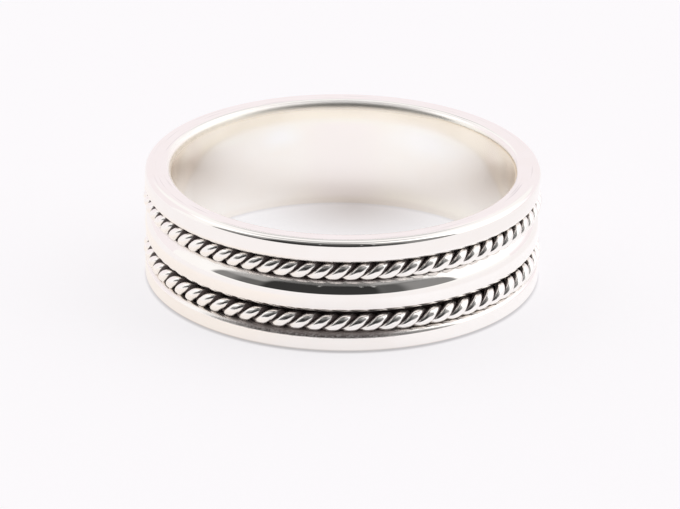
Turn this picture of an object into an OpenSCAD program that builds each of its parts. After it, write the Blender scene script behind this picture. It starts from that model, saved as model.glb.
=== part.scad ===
// Rope twist ring: a silver band with three raised ribs and a twisted two-strand rope in each
// of the two channels between them. The ring lies on its side: its axis is Z, and it stands on
// its lower rim at Z = 0. The front of the ring is towards -Y.

/* [Band] */
// Diameter of the finger hole
inner_diameter = 19; // [15:0.1:23]
// Thickness of the metal from the finger hole to the crests of the ribs
wall_thickness = 1.5; // [1.4:0.05:2.5]
// Radius of the rounding between each rim and the outside of the ring
outer_edge_radius = 0.28; // [0.1:0.01:0.4]
// Radius of the rounding between each rim and the finger hole
inner_edge_radius = 0.3; // [0.1:0.05:0.5]

/* [Ribs] */
// Width of the rib at the lower rim
lower_rib_width = 1.12; // [0.9:0.02:2]
// Width of the rib between the two channels
middle_rib_width = 1.84; // [1:0.02:3]
// Width of the rib at the upper rim
upper_rib_width = 1.24; // [0.9:0.02:2]
// How far the middle rib's edges lie below its crest
middle_rib_crown = 0.43; // [0.1:0.01:0.45]
// Radius of the rounding between an edge rib's crest and its channel
edge_rib_shoulder = 0.3; // [0.2:0.01:0.55]

/* [Ropes] */
// Thickness of the flattened wire that the ropes are twisted from, across the rope's core
wire_thickness = 0.48; // [0.35:0.01:0.55]
// Breadth of the flattened wire, along the rope's skin
wire_breadth = 0.55; // [0.4:0.01:0.6]
// How many rope diameters one full turn of the upper rope takes
upper_rope_lay = 1.94; // [1.8:0.01:3]
// How many rope diameters one full turn of the lower rope takes
lower_rope_lay = 2; // [1.8:0.01:3]
// Angle by which the upper rope is turned about itself at the front of the ring
upper_rope_twist = 37; // [0:1:180]
// Angle by which the lower rope is turned about itself at the front of the ring
lower_rope_twist = 0; // [0:1:180]
// How far the ropes stand out beyond the crests of the ribs
rope_rise = 0.08; // [0:0.01:0.15]

/* [Fits] */
// Gap between the two strands of a rope
strand_gap = 0.02; // [0.01:0.005:0.05]
// How much wider each channel is than its rope
channel_play = 0.15; // [0.14:0.01:0.3]
// Gap between the upper rope and the lower wall of its channel
upper_rope_seat = 0.08; // [0.02:0.01:0.12]
// Gap between the lower rope and the lower wall of its channel
lower_rope_seat = 0.03; // [0.02:0.01:0.12]
// Gap between a rope and the floor of its channel
floor_gap = 0.04; // [0.02:0.01:0.1]

/* [Fineness] */
// Number of flat sides of a strand's wire
wire_sides = 6; // [5:1:6]
// Number of sections of a strand in each turn of the rope
sections_per_turn = 9; // [8:1:10]

/* [Hidden] */

// Radii of the band, from the finger hole outwards
bore_radius = inner_diameter / 2;
rib_radius = bore_radius + wall_thickness;

// Round a rope, and the circle that its centre line follows
rope_diameter = 2 * wire_thickness + strand_gap;
rope_radius = rib_radius + rope_rise - rope_diameter / 2;

// The channels that take the ropes
channel_width = rope_diameter + channel_play;
channel_floor_radius = rope_radius - rope_diameter / 2 - floor_gap;

// Heights along the ring's axis, from the lower rim up
middle_rib_bottom = lower_rib_width + channel_width;
middle_rib_top = middle_rib_bottom + middle_rib_width;
band_width = middle_rib_top + channel_width + upper_rib_width;
lower_rope_height = lower_rib_width + lower_rope_seat + rope_diameter / 2;
upper_rope_height = middle_rib_top + upper_rope_seat + rope_diameter / 2;

// The circle of the middle rib's crown passes through its crest and both of its edges
crown_radius = (pow(middle_rib_width / 2, 2) + pow(middle_rib_crown, 2)) / (2 * middle_rib_crown);

// The centre lines of a rope's two strands wind round the rope's own centre line at this
// distance, opposite each other
strand_offset = (wire_thickness + strand_gap) / 2;
half_turn = 180;

// Overlap that lets one cutting shape pass cleanly through another's face
overlap = 0.1;

silver = [0.90, 0.89, 0.88];
rope_silver = [0.74, 0.73, 0.72];

// Turns of a rope's strands round each other in one trip round the ring, a whole number so that
// each strand closes on itself
function rope_turns(lay) = round(2 * PI * rope_radius / (lay * rope_diameter));

// Directions at an angle round the ring, counted from the front
function outward(angle) = [sin(angle), -cos(angle), 0];
function along(angle) = [cos(angle), sin(angle), 0];
upward = [0, 0, 1];

function unit(v) = v / norm(v);

// One strand's section at an angle round the ring: a ring of points square to the wire
function strand_section(angle, turns, twist, height) =
    let (
        winding = turns * angle + twist,
        rope_out = outward(angle) * cos(winding) + upward * sin(winding),
        rope_round = upward * cos(winding) - outward(angle) * sin(winding),
        centre = outward(angle) * rope_radius + upward * height + rope_out * strand_offset,
        reach = rope_radius + strand_offset * cos(winding),
        wire_along = unit(along(angle) * reach + rope_round * strand_offset * turns),
        wire_side = unit(cross(wire_along, rope_out)),
        wire_out = cross(wire_side, wire_along)
    )
    [for (side = [0 : wire_sides - 1])
        let (turn = side * 360 / wire_sides)
        centre
            + wire_out * cos(turn) * wire_thickness / 2
            + wire_side * sin(turn) * wire_breadth / 2];

// What rounding off a square corner takes away. The corner is at the origin, and the material
// lies towards the two given directions, each 1 or -1.
module corner_waste(radius, towards_x, towards_y) {
    flip_x = towards_x > 0 ? 0 : 1;
    flip_y = towards_y > 0 ? 0 : 1;
    mirror([flip_x, 0]) mirror([0, flip_y])
        difference() {
            translate([-overlap, -overlap]) square(radius + overlap);
            translate([radius, radius]) circle(r = radius, $fn = 64);
        }
}

// The outline of the rib at a rim that lies at Y = 0. X is the distance from the ring's axis.
module edge_rib_outline(width) {
    difference() {
        translate([bore_radius, 0]) square([wall_thickness, width]);
        translate([rib_radius, 0]) corner_waste(outer_edge_radius, -1, 1);
        translate([bore_radius, 0]) corner_waste(inner_edge_radius, 1, 1);
        translate([rib_radius, width]) corner_waste(edge_rib_shoulder, -1, -1);
    }
}

// The metal under the channels, from the middle of one edge rib to the middle of the other
module shank_outline() {
    shank_bottom = lower_rib_width / 2;
    shank_top = band_width - upper_rib_width / 2;
    translate([bore_radius, shank_bottom])
        square([channel_floor_radius - bore_radius, shank_top - shank_bottom]);
}

// The rib between the two channels, with its rounded crown
module middle_rib_outline() {
    root_radius = bore_radius + overlap;
    intersection() {
        translate([root_radius, middle_rib_bottom])
            square([rib_radius - root_radius, middle_rib_width]);
        union() {
            translate([rib_radius - crown_radius, middle_rib_bottom + middle_rib_width / 2])
                circle(r = crown_radius, $fn = 96);
            translate([root_radius, middle_rib_bottom])
                square([channel_floor_radius - root_radius, middle_rib_width]);
        }
    }
}

// The ring's body in one piece: shank, three ribs and two channels
module band() {
    color(silver)
        rotate_extrude($fn = 180) {
            edge_rib_outline(lower_rib_width);
            translate([0, band_width]) mirror([0, 1]) edge_rib_outline(upper_rib_width);
            shank_outline();
            middle_rib_outline();
        }
}

// One of a rope's two wires, wound round the rope's centre line all the way round the ring
module strand(lay, twist, height) {
    turns = rope_turns(lay);
    sections = turns * sections_per_turn;
    points = [for (i = [0 : sections - 1])
        each strand_section(i * 360 / sections, turns, twist, height)];
    faces = [for (i = [0 : sections - 1], side = [0 : wire_sides - 1])
        let (
            here = i * wire_sides,
            ahead = (i + 1) % sections * wire_sides,
            next_side = (side + 1) % wire_sides
        )
        each [
            [here + side, ahead + next_side, here + next_side],
            [here + side, ahead + side, ahead + next_side]
        ]];
    color(rope_silver) polyhedron(points = points, faces = faces);
}

module upper_strand_a() {
    strand(upper_rope_lay, upper_rope_twist, upper_rope_height);
}

module upper_strand_b() {
    strand(upper_rope_lay, upper_rope_twist + half_turn, upper_rope_height);
}

module lower_strand_a() {
    strand(lower_rope_lay, lower_rope_twist, lower_rope_height);
}

module lower_strand_b() {
    strand(lower_rope_lay, lower_rope_twist + half_turn, lower_rope_height);
}

band();
upper_strand_a();
upper_strand_b();
lower_strand_a();
lower_strand_b();
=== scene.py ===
"""Rope twist ring: a polished silver band with two twisted ropes in blackened channels.

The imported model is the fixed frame. The band and the four strands are made again here as fine
meshes with the solids' main sizes, and they stand for the solids. Constants that are lengths are
in metres unless their name ends in _MM or _PX, and constants that are angles are in degrees.
"""

import math

import bpy
import numpy as np
from mathutils import Matrix, Vector


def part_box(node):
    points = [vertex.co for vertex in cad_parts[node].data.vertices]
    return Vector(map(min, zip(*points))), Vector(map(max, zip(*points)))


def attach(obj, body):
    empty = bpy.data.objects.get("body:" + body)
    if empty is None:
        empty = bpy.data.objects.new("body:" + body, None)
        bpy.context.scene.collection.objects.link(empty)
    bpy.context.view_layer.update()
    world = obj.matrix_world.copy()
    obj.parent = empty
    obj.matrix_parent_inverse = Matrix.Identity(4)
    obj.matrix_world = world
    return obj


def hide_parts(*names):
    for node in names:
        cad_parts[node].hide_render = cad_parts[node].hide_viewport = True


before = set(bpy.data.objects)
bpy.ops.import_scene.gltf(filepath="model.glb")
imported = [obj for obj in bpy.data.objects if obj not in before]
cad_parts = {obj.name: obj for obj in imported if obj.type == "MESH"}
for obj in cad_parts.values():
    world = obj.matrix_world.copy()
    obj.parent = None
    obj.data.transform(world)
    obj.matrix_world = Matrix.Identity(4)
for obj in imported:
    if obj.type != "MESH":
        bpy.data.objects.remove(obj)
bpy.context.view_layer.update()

MM = 0.001

# Sizes of the band, as the solids have them
WALL = 1.5 * MM
OUTER_EDGE = 0.28 * MM
LOWER_RIB_WIDTH = 1.12 * MM
MIDDLE_RIB_WIDTH = 1.84 * MM
MIDDLE_RIB_CROWN = 0.43 * MM
UPPER_RIB_WIDTH = 1.24 * MM
EDGE_RIB_SHOULDER = 0.30 * MM

# Forms of the band that the solids don't have. The finger hole is straight in its middle and
# flares towards both ends, and its edges are worn round.
INNER_EDGE = 0.40 * MM
STRAIGHT_BORE = 3.0 * MM
FLARE_RADIUS = 14.0 * MM
# The flat rims fall away a little towards their outer edge, from hand polishing
RIM_CROWN_RADIUS = 1.6 * MM
RIM_CROWN_SLOPE = 9
# Below its crest the middle rib is flatter up to the first slope, and rounded more closely from
# there to the second
FLAT_SLOPE, LOWER_EDGE_SLOPE = 12, 70

# Sizes of the ropes, as the solids have them
WIRE_THICKNESS = 0.48 * MM
WIRE_BREADTH = 0.55 * MM
STRAND_GAP = 0.02 * MM
ROPE_RISE = 0.08 * MM
UPPER_ROPE_SEAT, LOWER_ROPE_SEAT = 0.08 * MM, 0.03 * MM
CHANNEL_PLAY = 0.15 * MM
FLOOR_GAP = 0.04 * MM
UPPER_TURNS, LOWER_TURNS = 35, 34

# Forms of the ropes that the solids don't have. The ropes are turned about themselves so that
# their lobes lie where the photograph shows them, and wear has made the outer side of the wires
# squarer than an ellipse, whose squareness would be 2.
UPPER_TWIST, LOWER_TWIST = 27, 31
CREST_SQUARENESS = 2.4

# Places that follow from the frame and the sizes above
RIB_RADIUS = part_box("band")[1].x
BAND_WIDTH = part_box("band")[1].z
BORE_RADIUS = RIB_RADIUS - WALL
STRAND_OFFSET = (WIRE_THICKNESS + STRAND_GAP) / 2
ROPE_REACH = STRAND_OFFSET + WIRE_THICKNESS / 2
ROPE_RADIUS = RIB_RADIUS + ROPE_RISE - ROPE_REACH
CHANNEL_WIDTH = 2 * ROPE_REACH + CHANNEL_PLAY
FLOOR_RADIUS = ROPE_RADIUS - ROPE_REACH - FLOOR_GAP
MIDDLE_RIB_BOTTOM = LOWER_RIB_WIDTH + CHANNEL_WIDTH
MIDDLE_RIB_TOP = MIDDLE_RIB_BOTTOM + MIDDLE_RIB_WIDTH
MIDDLE_RIB_MIDDLE = (MIDDLE_RIB_BOTTOM + MIDDLE_RIB_TOP) / 2
LOWER_CHANNEL_MIDDLE = LOWER_RIB_WIDTH + CHANNEL_WIDTH / 2
UPPER_CHANNEL_MIDDLE = MIDDLE_RIB_TOP + CHANNEL_WIDTH / 2
LOWER_ROPE_HEIGHT = LOWER_RIB_WIDTH + LOWER_ROPE_SEAT + ROPE_REACH
UPPER_ROPE_HEIGHT = MIDDLE_RIB_TOP + UPPER_ROPE_SEAT + ROPE_REACH

# Fineness of the meshes, and the angle from which an edge of the band stays sharp
BAND_SEGMENTS = 480
WIRE_SIDES = 32
SECTIONS_PER_TURN = 32
SHARP_ANGLE = 35
# Points of an outline that are closer than this are one point
SAME_POINT = 1e-8


class Outline:
    """A closed outline in the plane of radius and height, built from lines and arcs."""

    def __init__(self):
        self.points = []

    def line(self, end, ends_fraction=0.04):
        """A straight stretch, with points near its ends and in its middle that keep it flat."""
        if self.points:
            start = np.array(self.points[-1])
            step = np.array(end) - start
            for share in (ends_fraction, 0.5, 1 - ends_fraction):
                self.points.append(tuple(start + step * share))
        self.points.append(tuple(end))
        return self

    def arc(self, centre, radius, first, last, step=5):
        """An arc between two angles, counted from the direction of growing radius."""
        steps = max(2, math.ceil(abs(last - first) / step))
        for i in range(steps + 1):
            angle = math.radians(first + (last - first) * i / steps)
            point = (centre[0] + radius * math.cos(angle), centre[1] + radius * math.sin(angle))
            if not self.points or math.dist(point, self.points[-1]) > SAME_POINT:
                self.points.append(point)
        return self

    def worn_corner(self, corner, end, steps=18):
        """A curve to end that starts and ends along the sides of a corner."""
        start, corner, end = np.array(self.points[-1]), np.array(corner), np.array(end)
        for i in range(1, steps + 1):
            share = i / steps
            point = (1 - share)**2 * start + 2 * share * (1 - share) * corner + share**2 * end
            self.points.append(tuple(point))
        return self


def edge_rib(outline, width):
    """From the middle of the finger hole down, out along a rim and up to the channel's floor."""
    flare_start = (BAND_WIDTH - STRAIGHT_BORE) / 2
    flare_centre = (BORE_RADIUS + FLARE_RADIUS, flare_start)
    slope = math.asin((flare_start - INNER_EDGE) / FLARE_RADIUS)
    outline.line((BORE_RADIUS, BAND_WIDTH / 2))
    outline.line((BORE_RADIUS, flare_start))
    outline.arc(flare_centre, FLARE_RADIUS, 180, 180 + math.degrees(slope), step=1)
    # The inner edge is worn round, most closely in its middle
    wall_end = outline.points[-1]
    corner = (wall_end[0] + INNER_EDGE * math.tan(slope), 0.0)
    outline.worn_corner(corner, (corner[0] + INNER_EDGE, 0.0))
    tilt = math.radians(RIM_CROWN_SLOPE)
    fall = RIM_CROWN_RADIUS * (1 - math.cos(tilt))
    outer_centre = (RIB_RADIUS - OUTER_EDGE, OUTER_EDGE + fall)
    crown_end = (
        outer_centre[0] + OUTER_EDGE * math.sin(tilt),
        outer_centre[1] - OUTER_EDGE * math.cos(tilt),
    )
    crown_centre = (
        crown_end[0] - RIM_CROWN_RADIUS * math.sin(tilt),
        crown_end[1] + RIM_CROWN_RADIUS * math.cos(tilt),
    )
    outline.line((crown_centre[0], 0))
    outline.arc(crown_centre, RIM_CROWN_RADIUS, 270, 270 + RIM_CROWN_SLOPE, step=1)
    outline.arc(outer_centre, OUTER_EDGE, 270 + RIM_CROWN_SLOPE, 360)
    outline.line((RIB_RADIUS, width - EDGE_RIB_SHOULDER))
    shoulder_centre = (RIB_RADIUS - EDGE_RIB_SHOULDER, width - EDGE_RIB_SHOULDER)
    outline.arc(shoulder_centre, EDGE_RIB_SHOULDER, 0, 90)
    outline.line((FLOOR_RADIUS, width))


def middle_rib(outline):
    """Out along the lower channel's wall, over the crown and back to the upper channel's floor."""
    half_width = MIDDLE_RIB_WIDTH / 2
    crown_radius = (half_width**2 + MIDDLE_RIB_CROWN**2) / (2 * MIDDLE_RIB_CROWN)
    slope = math.degrees(math.asin(half_width / crown_radius))
    # Radii of the flatter part and of the closer rounding that reach the same edge together
    flat_end, edge_end = math.radians(FLAT_SLOPE), math.radians(LOWER_EDGE_SLOPE)
    across = np.array([
        [math.sin(flat_end), math.sin(edge_end) - math.sin(flat_end)],
        [1 - math.cos(flat_end), math.cos(flat_end) - math.cos(edge_end)],
    ])
    flat_radius, edge_radius = np.linalg.solve(across, [half_width, MIDDLE_RIB_CROWN])
    edge_centre = (
        RIB_RADIUS - flat_radius + (flat_radius - edge_radius) * math.cos(flat_end),
        MIDDLE_RIB_MIDDLE - (flat_radius - edge_radius) * math.sin(flat_end),
    )
    outline.line((FLOOR_RADIUS, MIDDLE_RIB_BOTTOM))
    outline.line((RIB_RADIUS - MIDDLE_RIB_CROWN, MIDDLE_RIB_BOTTOM))
    outline.arc(edge_centre, edge_radius, -LOWER_EDGE_SLOPE, -FLAT_SLOPE)
    flat_centre = (RIB_RADIUS - flat_radius, MIDDLE_RIB_MIDDLE)
    outline.arc(flat_centre, flat_radius, -FLAT_SLOPE, 0, step=2)
    outline.arc((RIB_RADIUS - crown_radius, MIDDLE_RIB_MIDDLE), crown_radius, 0, slope)
    outline.line((FLOOR_RADIUS, MIDDLE_RIB_TOP))


def band_outline():
    """The whole outline, from the middle of the finger hole round to the same place."""
    lower, upper = Outline(), Outline()
    edge_rib(lower, LOWER_RIB_WIDTH)
    middle_rib(lower)
    edge_rib(upper, UPPER_RIB_WIDTH)
    mirrored = [(r, BAND_WIDTH - z) for r, z in reversed(upper.points)]
    lower.line(mirrored[0])
    return lower.points + mirrored[1:-1]


def mesh_object(name, points, faces):
    """A new object in the scene, with a mesh of these points and faces."""
    mesh = bpy.data.meshes.new(name)
    mesh.from_pydata([tuple(p) for p in points], [], faces)
    mesh.validate()
    piece = bpy.data.objects.new(name, mesh)
    bpy.context.scene.collection.objects.link(piece)
    return piece


def grid_faces(rows, columns):
    """Faces of a closed grid that wraps round both ways."""
    faces = []
    for i in range(rows):
        for j in range(columns):
            ahead, beside = (i + 1) % rows, (j + 1) % columns
            faces.append((
                i * columns + j,
                ahead * columns + j,
                ahead * columns + beside,
                i * columns + beside,
            ))
    return faces


def turned_band():
    """The band, its outline turned once round the ring's axis."""
    outline = np.array(band_outline())
    angles = np.linspace(0, 2 * math.pi, BAND_SEGMENTS, endpoint=False)
    radius, height = outline[:, 0], outline[:, 1]
    points = np.stack(
        [
            np.outer(np.cos(angles), radius),
            np.outer(np.sin(angles), radius),
            np.tile(height, (BAND_SEGMENTS, 1)),
        ],
        axis=-1,
    ).reshape(-1, 3)
    piece = mesh_object("silver_band", points, grid_faces(BAND_SEGMENTS, len(outline)))
    piece.data.shade_smooth()
    piece.data.set_sharp_from_angle(angle=math.radians(SHARP_ANGLE))
    return piece


def unit(vectors):
    return vectors / np.linalg.norm(vectors, axis=-1, keepdims=True)


def twisted_strand(name, turns, twist, height):
    """One flattened wire, wound round a rope's centre line all the way round the ring."""
    sections = turns * SECTIONS_PER_TURN
    angle = np.linspace(0, 2 * math.pi, sections, endpoint=False)[:, None]
    # How far the strand has wound round the rope, and directions at each place round the ring
    winding = turns * angle + math.radians(twist)
    outward = np.hstack([np.sin(angle), -np.cos(angle), 0 * angle])
    along = np.hstack([np.cos(angle), np.sin(angle), 0 * angle])
    upward = np.array([[0.0, 0.0, 1.0]])
    # Directions from the rope's core to the strand and round the core, and the strand's middle
    rope_out = outward * np.cos(winding) + upward * np.sin(winding)
    rope_round = upward * np.cos(winding) - outward * np.sin(winding)
    centre = outward * ROPE_RADIUS + upward * height + rope_out * STRAND_OFFSET
    reach = ROPE_RADIUS + STRAND_OFFSET * np.cos(winding)
    # Directions along the wire, and across it to its side and to its outside
    wire_along = unit(along * reach + rope_round * STRAND_OFFSET * turns)
    wire_side = unit(np.cross(wire_along, rope_out))
    wire_out = np.cross(wire_side, wire_along)
    # Each section is an ellipse, squared on its outer side
    turn = np.linspace(0, 2 * math.pi, WIRE_SIDES, endpoint=False)[None, :, None]
    out_share, side_share = np.cos(turn), np.sin(turn)
    powers = np.abs(out_share) ** CREST_SQUARENESS + np.abs(side_share) ** CREST_SQUARENESS
    stretch = np.where(out_share > 0, powers ** (-1 / CREST_SQUARENESS), 1.0)
    out_part = wire_out[:, None] * out_share * stretch * WIRE_THICKNESS
    side_part = wire_side[:, None] * side_share * stretch * WIRE_BREADTH
    points = (centre[:, None] + (out_part + side_part) / 2).reshape(-1, 3)
    piece = mesh_object(name, points, grid_faces(sections, WIRE_SIDES))
    # The sections run the other way round than the band's outline, so the faces are turned out
    piece.data.flip_normals()
    piece.data.shade_smooth()
    return piece


class Shader:
    """Short ways of adding nodes to a material or a world."""

    def __init__(self, owner):
        owner.use_nodes = True
        self.tree = owner.node_tree
        self.tree.nodes.clear()

    def node(self, kind, **settings):
        """A new node with these settings."""
        made = self.tree.nodes.new(kind)
        for key, value in settings.items():
            setattr(made, key, value)
        return made

    def link(self, source, target):
        self.tree.links.new(source, target)

    def feed(self, socket, value):
        """Links another node's output to a socket, or sets the socket to a constant."""
        if isinstance(value, bpy.types.NodeSocket):
            self.link(value, socket)
        else:
            socket.default_value = value

    def math(self, operation, *values):
        """The result of one of Blender's operations on numbers."""
        made = self.node("ShaderNodeMath", operation=operation)
        for socket, value in zip(made.inputs, values):
            self.feed(socket, value)
        return made.outputs[0]

    def times(self, first, second):
        return self.math("MULTIPLY", first, second)

    def plus(self, first, second):
        return self.math("ADD", first, second)

    def minus(self, first, second):
        return self.math("SUBTRACT", first, second)

    def larger(self, first, second):
        return self.math("MAXIMUM", first, second)

    def absolute(self, value):
        return self.math("ABSOLUTE", value)

    def distance(self, a, b):
        """Square root of the sum of two squares."""
        return self.math("SQRT", self.plus(self.times(a, a), self.times(b, b)))

    def ramp(self, value, low, high, to_low=0.0, to_high=1.0):
        """A smooth step of value from low to high."""
        made = self.node("ShaderNodeMapRange", interpolation_type="SMOOTHSTEP", clamp=True)
        for socket, given in zip(made.inputs, (value, low, high, to_low, to_high)):
            self.feed(socket, given)
        return made.outputs[0]

    def mix(self, factor, first, second):
        """A colour that goes from first to second as factor goes from 0 to 1."""
        made = self.node("ShaderNodeMix", data_type="RGBA")
        self.feed(made.inputs["Factor"], factor)
        self.feed(made.inputs[6], first)
        self.feed(made.inputs[7], second)
        return made.outputs[2]

    def blend(self, factor, first, second):
        """A number that goes from first to second as factor goes from 0 to 1."""
        made = self.node("ShaderNodeMix", data_type="FLOAT")
        for socket, given in zip(made.inputs, (factor, None, first, second)):
            if given is not None:
                self.feed(socket, given)
        return made.outputs[0]

    def noise(self, vector, scale, detail):
        """Noise from 0 to 1, of this scale and with this many finer layers."""
        made = self.node("ShaderNodeTexNoise")
        self.feed(made.inputs["Vector"], vector)
        made.inputs["Scale"].default_value = scale
        made.inputs["Detail"].default_value = detail
        return made.outputs["Fac"]

    def node_parts(self, vector):
        """The three coordinates of a vector."""
        made = self.node("ShaderNodeSeparateXYZ")
        self.link(vector, made.inputs[0])
        return made.outputs

    def stretched(self, lengths, fineness):
        """A place for a noise, from two or three lengths, each with its own fineness."""
        scaled = [self.times(length, by) for length, by in zip(lengths, fineness)]
        if len(scaled) == 2:
            scaled.insert(1, 0.0)
        made = self.node("ShaderNodeCombineXYZ")
        for socket, value in zip(made.inputs, scaled):
            self.feed(socket, value)
        return made.outputs[0]


class RingPlace:
    """Where a point of the ring lies, in lengths that a shader can use."""

    def __init__(self, shader):
        self.point = shader.node("ShaderNodeTexCoord").outputs["Object"]
        self.right, self.back, self.height = shader.node_parts(self.point)
        self.radius = shader.distance(self.right, self.back)
        self.depth = shader.minus(RIB_RADIUS, self.radius)
        # Length round the outside, from the front to the right
        turned = shader.math("ARCTAN2", self.right, shader.times(self.back, -1.0))
        self.around = shader.times(turned, RIB_RADIUS)


# A ramp is four numbers: where it starts and ends, and its values at these two places. With two
# numbers only, it goes from 0 to 1.

# Colours of the silver in different places of the ring. In the finger hole the warm, dark, pink,
# highlight and foot shade colours are painted reflections, highlights and shade.
SILVER_COLOUR = (0.985, 0.955, 0.922, 1)
WORN_SILVER_COLOUR = (0.978, 0.943, 0.905, 1)
WARM_REFLECTION_COLOUR = (0.995, 0.96, 0.875, 1)
DARK_REFLECTION_COLOUR = (0.84, 0.785, 0.71, 1)
PINK_REFLECTION_COLOUR = (0.968, 0.922, 0.886, 1)
PAINTED_HIGHLIGHT_COLOUR = (1.0, 0.995, 0.975, 1)
FOOT_SHADE_COLOUR = (0.915, 0.87, 0.805, 1)
SCRATCH_COLOUR = (0.80, 0.77, 0.75, 1)
# Colours of the oxide, of the stain, and of the stain lightened near the channel by painted light
OXIDE_COLOUR = (0.15, 0.115, 0.11, 1)
STAIN_COLOUR = (0.085, 0.068, 0.064, 1)
LIGHTENED_STAIN_COLOUR = (0.42, 0.36, 0.345, 1)

# Noises of the band and of the ropes: their scale and how many finer layers they have
BAND_CLOUD = (900.0, 2.0)
BAND_GRAIN = (9000.0, 3.0)
ROPE_CLOUD = (5000.0, 3.0)
# The middle of a noise, and how far noise moves the edges of what lies on the band and of the
# ropes' polished patches
NOISE_MIDDLE = 0.5
BAND_RAGGEDNESS, ROPE_RAGGEDNESS = 0.10 * MM, 0.05 * MM
# A ramp over the band's cloudy noise, from its own silver to the worn silver
CLOUD_BLEND = (0.3, 0.7)

# Ramps over the depth below the crests of the ribs: the outside of the ring, the rims from their
# outer edge on, and the wall of the finger hole with and without its rounded edges
OUTSIDE_DEPTH = (1.1 * MM, 1.2 * MM, 1.0, 0.0)
RIM_DEPTH = (OUTER_EDGE, 2 * OUTER_EDGE)
ROUNDED_WALL_DEPTH = (WALL - INNER_EDGE, WALL - INNER_EDGE / 2)
WALL_DEPTH = (WALL - 0.2 * MM, WALL - 0.1 * MM)
# A ramp over the depth below the place where the oxide starts
OXIDE_START = (0.0, 0.1 * MM)

# Ramps over the distance from a channel's edge: the oxide in the channel, the film and the satin
# beside it, and the stain's breadth and its painted lightening near the channel
CHANNEL_OXIDE = (0.0, 0.03 * MM, 1.0, 0.0)
EDGE_FILM = (0.0, 0.13 * MM, 1.0, 0.0)
EDGE_SATIN = (0.10 * MM, 0.35 * MM, 0.20, 0.0)
STAIN_BREADTH = (0.20 * MM, 0.27 * MM, 1.0, 0.0)
STAIN_LIGHTENING = (0.0, 0.19 * MM, 1.0, 0.0)

# Ramps over the length round the band, from the front to the right
FILM_LEFT = (-7.0 * MM, -4.0 * MM, 0.15, 1.0)
FILM_RIGHT = (2.0 * MM, 4.0 * MM, 1.0, 0.15)
FILM_ABOVE_ROPES = (2.0 * MM, 5.0 * MM, 0.7, 0.35)
STAIN_LEFT = (-9.0 * MM, -4.0 * MM, 0.0, 1.0)
STAIN_RIGHT = (1.5 * MM, 4.5 * MM, 1.0, 0.0)
# How deep below the ribs' crests the oxide starts, which wear has rubbed off on the right
OXIDE_DEPTH = (1.0 * MM, 5.0 * MM, EDGE_RIB_SHOULDER, 2 * EDGE_RIB_SHOULDER)

# Strength of the film below the lower rope, and below the upper rope
FILM_BELOW_ROPES = (0.35, 1.0)
# Where on a turn of a rope it rubs, from its crest towards its top, and a ramp over its wave
RUB_WINDING = 65
RUB = (0.0, 0.8, 0.0, 1.0)
# Roughness of the stain, and a ramp over the grain that breaks it up
STAIN_ROUGHNESS = 0.6
STAIN_GRAIN = (0.38, 0.6, 0.62, 1.0)

# Polishing lines: how fine they are round the band, up it and through it, their finer layers, a
# ramp over their noise that gives the roughness, and how deep they are
POLISH_FINENESS = (60.0, 4000.0, 4000.0)
POLISH_LAYERS = 4.0
POLISH_ROUGHNESS = (0.35, 0.75, 0.015, 0.04)
POLISH_DEPTH = 0.0004 * MM

# Roughness of the finger hole's wall, and of its upper edge, a ramp over the distance to the right
BORE_ROUGHNESS = 0.13
BORE_EDGE_ROUGHNESS = (3.8 * MM, 6.0 * MM, 0.42, 0.22)
# Ramps over the height in the finger hole: its upper edge, the painted warm reflection near its
# two ends and the painted shade line at its foot
BORE_EDGE_HEIGHT = (BAND_WIDTH - 1.5 * INNER_EDGE, BAND_WIDTH - 0.75 * INNER_EDGE)
BORE_WARMTH = (4.2 * MM, 5.6 * MM, 0.3, 0.8)
BORE_FOOT_WARMTH = (0.4 * MM, 1.8 * MM, 1.0, 0.3)
FOOT_SHADE_LINE = (0.3 * MM, 0.75 * MM, 1.0, 0.0)
# Ramps over the distance to the right: the painted warm reflection at the foot, and the strength
# of the painted shade line at the foot
FOOT_WARMTH_START = (-5.0 * MM, -1.0 * MM)
FOOT_SHADE_START = (-5.0 * MM, -1.0 * MM, 0.4, 1.0)

# Painted darker reflections on the sides of the finger hole: ramps over the distance from the
# middle and over the height, the last of which slants upwards to the sides
BORE_SIDES = (6.8 * MM, 8.8 * MM, 0.0, 1.0)
BORE_SIDES_UP = (3.6 * MM, 5.0 * MM, 0.35, 1.0)
BORE_SIDES_TOP = (4.8 * MM, 5.6 * MM, 1.0, 0.3)
DARK_REFLECTION_SLANT = 1.2
# Upright streaks break them up: how fine they are round the band and up it, and a ramp over
# their noise
STREAK_FINENESS = (900.0, 120.0)
UPRIGHT_STREAKS = (0.35, 0.65, 0.75, 1.0)

# The far side of the hole, a ramp over the distance to the back
FAR_SIDE = (0.0, 3.0 * MM)
# Its painted pink reflection in the middle: ramps over the distance from there and over the height
PINK_REFLECTION_REACH = (0.5 * MM, 3.2 * MM, 1.0, 0.0)
PINK_REFLECTION_TOP = (4.9 * MM, 5.5 * MM, 1.0, 0.0)
# Its painted highlights: distance to the right, height, half width and half height
PAINTED_HIGHLIGHT_SPOTS = (
    (-3.6 * MM, 4.5 * MM, 1.7 * MM, 1.0 * MM),
    (4.6 * MM, 4.5 * MM, 2.8 * MM, 1.5 * MM),
)

# Scratches on the rims: how fine they are round the rim and across it, and a ramp over their
# noise
SCRATCH_FINENESS = (250.0, 9000.0)
RIM_SCRATCHES = (0.58, 0.72, 0.0, 0.9)
# Finer layers in the noises of the smears and the scratches
FEW_LAYERS = 2.0

# The oxide in the ropes' valleys, a ramp over the distance from the rope's core
VALLEY_OXIDE = (0.275 * MM, 0.325 * MM, 1.0, 0.0)
# The polished patches narrow towards their inner ends, over how far out of the channel a place
# lies along a tilted line. How much they narrow is a ramp over the length round the band.
PATCH_TILT = 0.35
PATCH_END = (-0.10 * MM, 0.38 * MM)
PATCH_NARROWING = (1.0 * MM, 6.0 * MM, 0.16 * MM, 0.07 * MM)
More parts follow.
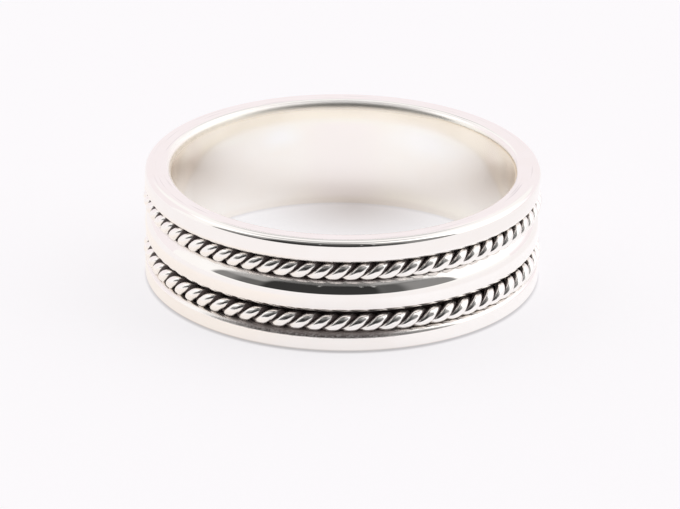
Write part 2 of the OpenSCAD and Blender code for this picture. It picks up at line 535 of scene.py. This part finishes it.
# A ramp over the noise that gives the patches' roughness, what the oxide adds to it, and how
# deep the noise is
CREST_ROUGHNESS = (0.3, 0.7, 0.15, 0.22)
OXIDE_ROUGHNESS = 0.35
CREST_DEPTH = 0.001 * MM


def silver_shader(shader, oxide, roughness, bump, tint, stain=0.0, stain_colour=OXIDE_COLOUR):
    """Polished silver, with a dull brown-black sulphide where oxide is 1, and stained brown."""
    surface = shader.node("ShaderNodeBsdfPrincipled")
    blackened = shader.mix(oxide, tint, OXIDE_COLOUR)
    shader.feed(surface.inputs["Base Color"], shader.mix(stain, blackened, stain_colour))
    shader.feed(surface.inputs["Roughness"], roughness)
    shader.feed(surface.inputs["Metallic"], shader.minus(1.0, shader.larger(oxide, stain)))
    shader.feed(surface.inputs["Normal"], bump)
    output = shader.node("ShaderNodeOutputMaterial")
    shader.link(surface.outputs[0], output.inputs["Surface"])


def bump_of(shader, height, distance):
    """A bumpy surface, where height 1 stands this far out."""
    made = shader.node("ShaderNodeBump")
    made.inputs["Strength"].default_value = 1.0
    made.inputs["Distance"].default_value = distance
    shader.feed(made.inputs["Height"], height)
    return made.outputs[0]


def rubbed_marks(shader, around, turns, twist):
    """1 where one of a rope's two strands rubs against the edge above it, and 0 between."""
    winding = shader.times(around, 2 * turns / RIB_RADIUS)
    phase = math.radians(2 * (twist - RUB_WINDING))
    return shader.ramp(shader.math("COSINE", shader.plus(winding, phase)), *RUB)


def edge_film(shader, at, from_ragged_edge):
    """The thin film of oxide on the edges beside the ropes."""
    upper_half = shader.math("GREATER_THAN", at.height, MIDDLE_RIB_MIDDLE)
    # The turns of a rope rub bright marks into the film on the edge above it
    marks = shader.blend(
        upper_half,
        rubbed_marks(shader, at.around, LOWER_TURNS, LOWER_TWIST),
        rubbed_marks(shader, at.around, UPPER_TURNS, UPPER_TWIST),
    )
    above = shader.times(shader.ramp(at.around, *FILM_ABOVE_ROPES), shader.minus(1.0, marks))
    # Below the ropes the film is left on the front only
    on_front = shader.times(
        shader.ramp(at.around, *FILM_LEFT), shader.ramp(at.around, *FILM_RIGHT)
    )
    below = shader.times(on_front, shader.blend(upper_half, *FILM_BELOW_ROPES))
    channel_middle = shader.blend(upper_half, LOWER_CHANNEL_MIDDLE, UPPER_CHANNEL_MIDDLE)
    above_rope = shader.math("GREATER_THAN", at.height, channel_middle)
    film = shader.ramp(from_ragged_edge, *EDGE_FILM)
    return shader.times(film, shader.blend(above_rope, below, above))


def shoulder_stain(shader, at, from_ragged_edge):
    """The stain on the lower rib's upper shoulder, from the left of the front to its right."""
    reach = shader.times(shader.ramp(at.around, *STAIN_LEFT), shader.ramp(at.around, *STAIN_RIGHT))
    on_shoulder = shader.times(
        shader.ramp(from_ragged_edge, *STAIN_BREADTH),
        shader.math("LESS_THAN", at.height, LOWER_CHANNEL_MIDDLE),
    )
    return shader.times(reach, on_shoulder)


def rim_scratches(shader, at, wall):
    """Faint scratches that run round the rims."""
    turned = shader.stretched((at.around, at.radius), SCRATCH_FINENESS)
    on_rim = shader.times(shader.ramp(at.depth, *RIM_DEPTH), shader.minus(1.0, wall))
    return shader.times(on_rim, shader.ramp(shader.noise(turned, 1.0, FEW_LAYERS), *RIM_SCRATCHES))


def hole_painted_light(shader, at, wall, tint):
    """The silver's tint on the finger hole's wall, with painted reflections, highlights and shade.
    """
    # The wall is warmer near its two ends and darker at the sides: painted reflections of silver
    # in silver, and of darker surroundings
    at_foot = shader.times(
        shader.ramp(at.height, *BORE_FOOT_WARMTH), shader.ramp(at.right, *FOOT_WARMTH_START)
    )
    warm_reflection = shader.larger(shader.ramp(at.height, *BORE_WARMTH), at_foot)
    tint = shader.mix(shader.times(wall, warm_reflection), tint, WARM_REFLECTION_COLOUR)
    sideways = shader.absolute(at.right)
    upright = shader.stretched((at.around, at.height), STREAK_FINENESS)
    streaked = shader.ramp(shader.noise(upright, 1.0, FEW_LAYERS), *UPRIGHT_STREAKS)
    slant = shader.times(shader.minus(sideways, BORE_SIDES[1]), DARK_REFLECTION_SLANT)
    on_side = shader.times(
        shader.ramp(sideways, *BORE_SIDES), shader.ramp(at.height, *BORE_SIDES_UP)
    )
    under_top = shader.ramp(shader.minus(at.height, slant), *BORE_SIDES_TOP)
    # Painted darker reflections on the sides, broken up by upright streaks
    dull = shader.times(shader.times(wall, streaked), shader.times(on_side, under_top))
    tint = shader.mix(dull, tint, DARK_REFLECTION_COLOUR)
    # Its far side has a painted pinker, darker reflection in the middle and painted highlights on
    # either hand
    far_wall = shader.times(wall, shader.ramp(at.back, *FAR_SIDE))
    pink_reflection = shader.times(
        shader.ramp(sideways, *PINK_REFLECTION_REACH), shader.ramp(at.height, *PINK_REFLECTION_TOP)
    )
    tint = shader.mix(shader.times(far_wall, pink_reflection), tint, PINK_REFLECTION_COLOUR)
    # Painted highlights: two soft, whiter spots on the far wall
    bright = 0.0
    for spot_right, spot_height, half_width, half_height in PAINTED_HIGHLIGHT_SPOTS:
        from_spot = shader.distance(
            shader.math("DIVIDE", shader.minus(at.right, spot_right), half_width),
            shader.math("DIVIDE", shader.minus(at.height, spot_height), half_height),
        )
        bright = shader.larger(bright, shader.ramp(from_spot, 0.0, 1.0, 1.0, 0.0))
    tint = shader.mix(shader.times(far_wall, bright), tint, PAINTED_HIGHLIGHT_COLOUR)
    # Painted shade: a darker line runs along its foot, where the wall meets the floor
    foot_shade = shader.times(
        shader.ramp(at.height, *FOOT_SHADE_LINE), shader.ramp(at.right, *FOOT_SHADE_START)
    )
    return shader.mix(shader.times(far_wall, foot_shade), tint, FOOT_SHADE_COLOUR)


def band_material():
    """Polished silver, oxide, film and stain outside; painted reflections and shade in the finger
    hole.
    """
    material = bpy.data.materials.new("polished_band_silver")
    shader = Shader(material)
    at = RingPlace(shader)
    outside = shader.ramp(at.depth, *OUTSIDE_DEPTH)
    wall = shader.ramp(at.depth, *WALL_DEPTH)
    from_middle = shader.math(
        "MINIMUM",
        shader.absolute(shader.minus(at.height, LOWER_CHANNEL_MIDDLE)),
        shader.absolute(shader.minus(at.height, UPPER_CHANNEL_MIDDLE)),
    )
    from_channel = shader.minus(from_middle, CHANNEL_WIDTH / 2)
    cloud = shader.noise(at.point, *BAND_CLOUD)
    grain = shader.noise(at.point, *BAND_GRAIN)
    ragged = shader.times(shader.minus(grain, NOISE_MIDDLE), BAND_RAGGEDNESS)
    from_ragged_edge = shader.plus(from_channel, ragged)
    # Oxide fills the channels, and a thin film of it is left on the edges beside them
    under_edge = shader.minus(at.depth, shader.ramp(at.around, *OXIDE_DEPTH))
    in_channel = shader.times(
        shader.ramp(from_channel, *CHANNEL_OXIDE), shader.ramp(under_edge, *OXIDE_START)
    )
    film = edge_film(shader, at, from_ragged_edge)
    oxide = shader.times(outside, shader.larger(in_channel, film))
    stained = shader.times(outside, shoulder_stain(shader, at, from_ragged_edge))
    stain = shader.times(stained, shader.ramp(grain, *STAIN_GRAIN))
    # The stain is lighter near the channel: painted light that evens out the shade under the rope
    lightened_near_channel = shader.ramp(from_channel, *STAIN_LIGHTENING)
    stain_colour = shader.mix(lightened_near_channel, STAIN_COLOUR, LIGHTENED_STAIN_COLOUR)
    # Fine polishing lines run round the band. The polishing wheel left its edges satin, and the
    # wall of the finger hole less bright.
    lines = shader.stretched((at.around, at.height, at.radius), POLISH_FINENESS)
    streaks = shader.noise(lines, 1.0, POLISH_LAYERS)
    satin = shader.times(outside, shader.ramp(from_channel, *EDGE_SATIN))
    wall_roughness = shader.blend(
        shader.ramp(at.height, *BORE_EDGE_HEIGHT),
        BORE_ROUGHNESS,
        shader.ramp(at.right, *BORE_EDGE_ROUGHNESS),
    )
    in_bore = shader.times(shader.ramp(at.depth, *ROUNDED_WALL_DEPTH), wall_roughness)
    unpolished = shader.larger(
        shader.times(stained, STAIN_ROUGHNESS), shader.larger(satin, in_bore)
    )
    roughness = shader.plus(shader.ramp(streaks, *POLISH_ROUGHNESS), unpolished)
    tint = shader.mix(shader.ramp(cloud, *CLOUD_BLEND), SILVER_COLOUR, WORN_SILVER_COLOUR)
    tint = shader.mix(rim_scratches(shader, at, wall), tint, SCRATCH_COLOUR)
    tint = hole_painted_light(shader, at, wall, tint)
    polish = bump_of(shader, streaks, POLISH_DEPTH)
    silver_shader(shader, oxide, roughness, polish, tint, stain, stain_colour)
    return material


def rope_material(name, rope_height):
    """Silver wires, polished on the crests of the twist and black in its valleys."""
    material = bpy.data.materials.new(name)
    shader = Shader(material)
    at = RingPlace(shader)
    out_of_axis = shader.minus(at.radius, ROPE_RADIUS)
    up_of_axis = shader.minus(at.height, rope_height)
    from_axis = shader.distance(out_of_axis, up_of_axis)
    cloud = shader.noise(at.point, *ROPE_CLOUD)
    ragged = shader.times(shader.minus(cloud, NOISE_MIDDLE), ROPE_RAGGEDNESS)
    # The polished patches on the crests have round ends
    exposed = shader.minus(out_of_axis, shader.times(up_of_axis, PATCH_TILT))
    narrowing = shader.ramp(at.around, *PATCH_NARROWING)
    crest = shader.minus(from_axis, shader.ramp(exposed, *PATCH_END, narrowing, 0.0))
    oxide = shader.ramp(shader.plus(crest, ragged), *VALLEY_OXIDE)
    roughness = shader.plus(
        shader.ramp(cloud, *CREST_ROUGHNESS), shader.times(oxide, OXIDE_ROUGHNESS)
    )
    silver_shader(shader, oxide, roughness, bump_of(shader, cloud, CREST_DEPTH), SILVER_COLOUR)
    return material


def dress(piece, node, material):
    """Gives a piece its material, and lets it stand for one of the solids."""
    piece.data.materials.append(material)
    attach(piece, "root")
    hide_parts(node)


# The camera of the photograph: how far it is from the ring, how high and how it is turned
IMAGE_WIDTH_PX = 680
FOCAL_LENGTH_PX = 4344
SENSOR_WIDTH_MM = 36
CAMERA_DISTANCE = 242.6 * MM
CAMERA_ELEVATION = 23.08
CAMERA_TARGET_HEIGHT = 3.0 * MM
CAMERA_YAW = -0.025
CAMERA_PITCH = -0.43
CAMERA_ROLL = 0.70
NEAREST_SEEN, FARTHEST_SEEN = 0.01, 10.0


def photo_camera():
    """The camera in front of the ring, above the floor."""
    elevation = math.radians(CAMERA_ELEVATION)
    data = bpy.data.cameras.new("photo_camera")
    data.sensor_width = SENSOR_WIDTH_MM
    data.lens = SENSOR_WIDTH_MM * FOCAL_LENGTH_PX / IMAGE_WIDTH_PX
    data.clip_start, data.clip_end = NEAREST_SEEN, FARTHEST_SEEN
    camera = bpy.data.objects.new("photo_camera", data)
    bpy.context.scene.collection.objects.link(camera)
    forward = Vector((0, math.cos(elevation), -math.sin(elevation)))
    right = Vector((1, 0, 0))
    up = right.cross(forward)
    yaw, pitch = math.radians(CAMERA_YAW), math.radians(CAMERA_PITCH)
    aim = forward + right * math.tan(yaw) + up * math.tan(pitch)
    aim.normalize()
    level_right = aim.cross(Vector((0, 0, 1))).normalized()
    level_up = level_right.cross(aim)
    roll = math.radians(CAMERA_ROLL)
    x_axis = level_right * math.cos(roll) + level_up * math.sin(roll)
    y_axis = level_up * math.cos(roll) - level_right * math.sin(roll)
    turned = Matrix((x_axis, y_axis, -aim)).transposed().to_4x4()
    place = -forward * CAMERA_DISTANCE + Vector((0, 0, CAMERA_TARGET_HEIGHT))
    camera.matrix_world = Matrix.Translation(place) @ turned
    bpy.context.scene.camera = camera


# The ring stands on a glowing white sheet in a white tent
FLOOR_HALF_WIDTH = 3.0
FLOOR_COLOUR = (0.31, 0.30, 0.31, 1)
FLOOR_GLOW = 0.738
FLOOR_GLOW_COLOUR = (1.0, 0.985, 1.0, 1)
# In the ring's reflections the sheet is a little darker, and near the ring it is creamier on the
# left and brighter on the right: ramps over the distance from the ring's axis and to the right
REFLECTED_GLOW_COLOUR = (0.985, 0.966, 0.98, 1)
TINTED_REACH = (16.0 * MM, 22.0 * MM, 1.0, 0.0)
CREAM_SIDE = (-8.0 * MM, -2.0 * MM, 1.0, 0.0)
CREAM_GLOW_COLOUR = (1.045, 0.985, 0.935, 1)
BRIGHT_SIDE = (2.0 * MM, 7.0 * MM)
BRIGHT_GLOW_COLOUR = (1.07, 1.063, 1.09, 1)
# Inside the finger hole a soft, pinker shade lies at the foot of the far wall: its centre, a ramp
# over the distance from there, and the glow in the shade and out of it
SHADE_CENTRE = (0.7 * MM, 9.5 * MM)
SHADE_REACH = (-2.0 * MM, 7.0 * MM)
HOLE_GLOW = (0.60, 1.03)
SHADE_GLOW_COLOUR = (1.0, 0.91, 0.87, 1)
# Right at the ring's foot the glow is weaker by these shares, outside and in the finger hole
CONTACT_REACH = 0.2 * MM
CONTACT_SHADE, HOLE_CONTACT_SHADE = 0.55, 0.14
CONTACT_SAMPLES = 8


def white_floor():
    """The glowing sheet that the ring stands on."""
    half = FLOOR_HALF_WIDTH
    corners = [(-half, -half, 0), (half, -half, 0), (half, half, 0), (-half, half, 0)]
    floor = mesh_object("floor", corners, [(0, 1, 2, 3)])
    material = bpy.data.materials.new("pale_floor")
    shader = Shader(material)
    surface = shader.node("ShaderNodeBsdfPrincipled")
    surface.inputs["Base Color"].default_value = FLOOR_COLOUR
    surface.inputs["Roughness"].default_value = 1.0
    surface.inputs["Specular IOR Level"].default_value = 0.0
    # The glow fades in the ring's shade: inside the finger hole and right at the ring's foot
    x, y = shader.node_parts(shader.node("ShaderNodeTexCoord").outputs["Object"])[:2]
    from_axis = shader.distance(x, y)
    from_shade = shader.distance(
        shader.minus(x, SHADE_CENTRE[0]), shader.minus(y, SHADE_CENTRE[1])
    )
    in_hole = shader.ramp(from_axis, BORE_RADIUS, RIB_RADIUS, 1.0, 0.0)
    lightness = shader.ramp(from_shade, *SHADE_REACH)
    hole_glow = shader.blend(lightness, *HOLE_GLOW)
    contact = shader.node("ShaderNodeAmbientOcclusion", samples=CONTACT_SAMPLES)
    contact.inputs["Distance"].default_value = CONTACT_REACH
    contact_shade = shader.blend(in_hole, CONTACT_SHADE, HOLE_CONTACT_SHADE)
    glow = shader.times(
        shader.blend(in_hole, 1.0, hole_glow),
        shader.blend(contact.outputs["AO"], shader.minus(1.0, contact_shade), 1.0),
    )
    seen = shader.node("ShaderNodeLightPath").outputs["Is Camera Ray"]
    reflected = shader.times(shader.minus(1.0, seen), shader.ramp(from_axis, *TINTED_REACH))
    creamy = shader.times(reflected, shader.ramp(x, *CREAM_SIDE))
    bright = shader.times(reflected, shader.ramp(x, *BRIGHT_SIDE))
    outer = shader.mix(seen, REFLECTED_GLOW_COLOUR, FLOOR_GLOW_COLOUR)
    outer = shader.mix(creamy, outer, CREAM_GLOW_COLOUR)
    outer = shader.mix(bright, outer, BRIGHT_GLOW_COLOUR)
    inner = shader.mix(lightness, SHADE_GLOW_COLOUR, FLOOR_GLOW_COLOUR)
    shader.link(shader.mix(in_hole, outer, inner), surface.inputs["Emission Color"])
    shader.link(shader.times(glow, FLOOR_GLOW), surface.inputs["Emission Strength"])
    output = shader.node("ShaderNodeOutputMaterial")
    shader.link(surface.outputs[0], output.inputs["Surface"])
    floor.data.materials.append(material)


# The even light of the tent, which is also the backdrop that the camera sees, and of the studio
TENT_COLOUR = (1.0, 0.995, 1.0)
TENT_BRIGHTNESS = 1.0
STUDIO_BRIGHTNESS = 0.17
# Soft-edged patches of brightness, each with its left, right, bottom, top, softness and
# brightness. Directions are in degrees, and elevations count from the horizon. In the tent,
# azimuths count to the right from its far side, and in the studio from the camera's side.
TENT_PATCHES = (
    # Brighter on the right and on the left
    (48, 125, 12, 100, 8, 1.4),
    (22, 60, 36, 100, 8, 1.3),
    (-130, -45, 44, 64, 4, 1.25),
    # Darker overhead, and in a small patch on the far side
    (-60, 60, 62, 100, 8, 0.45),
    (-4.6, 4.6, 28, 34, 1, 0.6),
)
STUDIO_PATCHES = (
    # Its left side
    (-95, -46, -20, 30, 4, 0.13),
    (-95, -62, -20, 90, 5, 0.24),
    (-95, -45, 30, 60, 5, 0.40),
    # Its right side
    (22, 38, -20, 46, 4, 0.10),
    (38, 95, -20, 42, 5, 0.26),
    (22, 95, 47, 75, 4, 0.46),
    # Its dark middle, with three small lights
    (-46, 22, -20, 46, 3, 0.036),
    (-14.8, -13.4, 38, 47, 0.3, 0.45),
    (11.9, 13.3, 38, 48, 0.3, 0.45),
    (19.6, 21.4, 37, 49, 0.3, 0.60),
)
# The tent's far side, this far to either hand, is pinker below an elevation. On the left that
# elevation is higher, and it changes between two azimuths. The pink fades in just below it.
PINK_COLOUR = (0.95, 0.895, 0.93)
PINK_SIDE = 70
PINK_TOP = (-25, -10, 45, 27)
PINK_FADE = (-3, 0, 1.0, 0.0)
# The opening on the camera's side is a squared dome, this wide to either hand and this high. An
# ellipse's squareness would be 2. It is soft this far to either side of its edge, where its
# middle counts as 0 and its edge as 1.
OPENING_LEFT, OPENING_RIGHT, OPENING_TOP = 78, 68, 84
OPENING_SQUARENESS = 2.8
OPENING_EDGE = 0.08
# Its lower edge rises towards its ends, and is soft over this ramp
SILL_RISE = 7
SILL_EDGE = (0.0, 1.5)


def patched(shader, azimuth, elevation, brightness, patches):
    """A brightness with soft-edged patches laid over it."""
    for left, right, bottom, top, soft, patch_brightness in patches:
        across = shader.times(
            shader.ramp(azimuth, left - soft, left + soft),
            shader.ramp(azimuth, right - soft, right + soft, 1.0, 0.0),
        )
        upright = shader.times(
            shader.ramp(elevation, bottom - soft, bottom + soft),
            shader.ramp(elevation, top - soft, top + soft, 1.0, 0.0),
        )
        brightness = shader.blend(shader.times(across, upright), brightness, patch_brightness)
    return brightness


def opening_in_tent(shader, azimuth, elevation):
    """1 inside the dome-shaped opening, with azimuths counted from the camera's side."""
    on_left = shader.math("LESS_THAN", azimuth, 0.0)
    reach = shader.blend(on_left, OPENING_RIGHT, OPENING_LEFT)
    across = shader.math("DIVIDE", azimuth, reach)
    up = shader.math("DIVIDE", elevation, OPENING_TOP)
    from_middle = shader.plus(
        shader.math("POWER", shader.absolute(across), OPENING_SQUARENESS),
        shader.math("POWER", shader.absolute(up), OPENING_SQUARENESS),
    )
    dome = shader.ramp(from_middle, 1 - OPENING_EDGE, 1 + OPENING_EDGE, 1.0, 0.0)
    sill = shader.times(shader.times(across, across), SILL_RISE)
    return shader.times(dome, shader.ramp(shader.minus(elevation, sill), *SILL_EDGE))


def white_tent():
    """The light: a white tent round the ring, open on the camera's side to a darker studio."""
    world = bpy.data.worlds.new("white_tent")
    bpy.context.scene.world = world
    shader = Shader(world)
    x, y, z = shader.node_parts(shader.node("ShaderNodeTexCoord").outputs["Generated"])
    degrees = 180 / math.pi
    far_azimuth = shader.times(shader.math("ARCTAN2", x, y), degrees)
    azimuth = shader.times(shader.math("ARCTAN2", x, shader.times(y, -1.0)), degrees)
    elevation = shader.times(shader.math("ARCSINE", z), degrees)
    tent = patched(shader, far_azimuth, elevation, TENT_BRIGHTNESS, TENT_PATCHES)
    studio = patched(shader, azimuth, elevation, STUDIO_BRIGHTNESS, STUDIO_PATCHES)
    lit = shader.blend(opening_in_tent(shader, azimuth, elevation), tent, studio)
    # The camera itself sees an even backdrop
    seen = shader.node("ShaderNodeLightPath").outputs["Is Camera Ray"]
    far_side = shader.math("LESS_THAN", shader.absolute(far_azimuth), PINK_SIDE)
    under_top = shader.minus(elevation, shader.ramp(far_azimuth, *PINK_TOP))
    pink = shader.times(far_side, shader.ramp(under_top, *PINK_FADE))
    pink = shader.times(pink, shader.minus(1.0, seen))
    background = shader.node("ShaderNodeBackground")
    colour = shader.mix(pink, (*TENT_COLOUR, 1), (*PINK_COLOUR, 1))
    shader.link(colour, background.inputs["Color"])
    shader.link(shader.blend(seen, lit, TENT_BRIGHTNESS), background.inputs["Strength"])
    output = shader.node("ShaderNodeOutputWorld")
    shader.link(background.outputs[0], output.inputs["Surface"])


# How often light may bounce, in all and off polished and off dull surfaces
ALL_BOUNCES, GLOSSY_BOUNCES, DIFFUSE_BOUNCES = 24, 16, 8

photo_camera()
dress(turned_band(), "band", band_material())
upper_finish = rope_material("upper_rope_silver", UPPER_ROPE_HEIGHT)
lower_finish = rope_material("lower_rope_silver", LOWER_ROPE_HEIGHT)
# The two strands of a rope lie half a turn apart
for letter, half_turn in (("a", 0), ("b", 180)):
    upper_wire = twisted_strand(
        "upper_wire_" + letter, UPPER_TURNS, UPPER_TWIST + half_turn, UPPER_ROPE_HEIGHT
    )
    dress(upper_wire, "upper_strand_" + letter, upper_finish)
    lower_wire = twisted_strand(
        "lower_wire_" + letter, LOWER_TURNS, LOWER_TWIST + half_turn, LOWER_ROPE_HEIGHT
    )
    dress(lower_wire, "lower_strand_" + letter, lower_finish)
white_floor()
white_tent()

scene = bpy.context.scene
scene.view_settings.view_transform = "Standard"
scene.cycles.max_bounces = ALL_BOUNCES
scene.cycles.glossy_bounces = GLOSSY_BOUNCES
scene.cycles.diffuse_bounces = DIFFUSE_BOUNCES
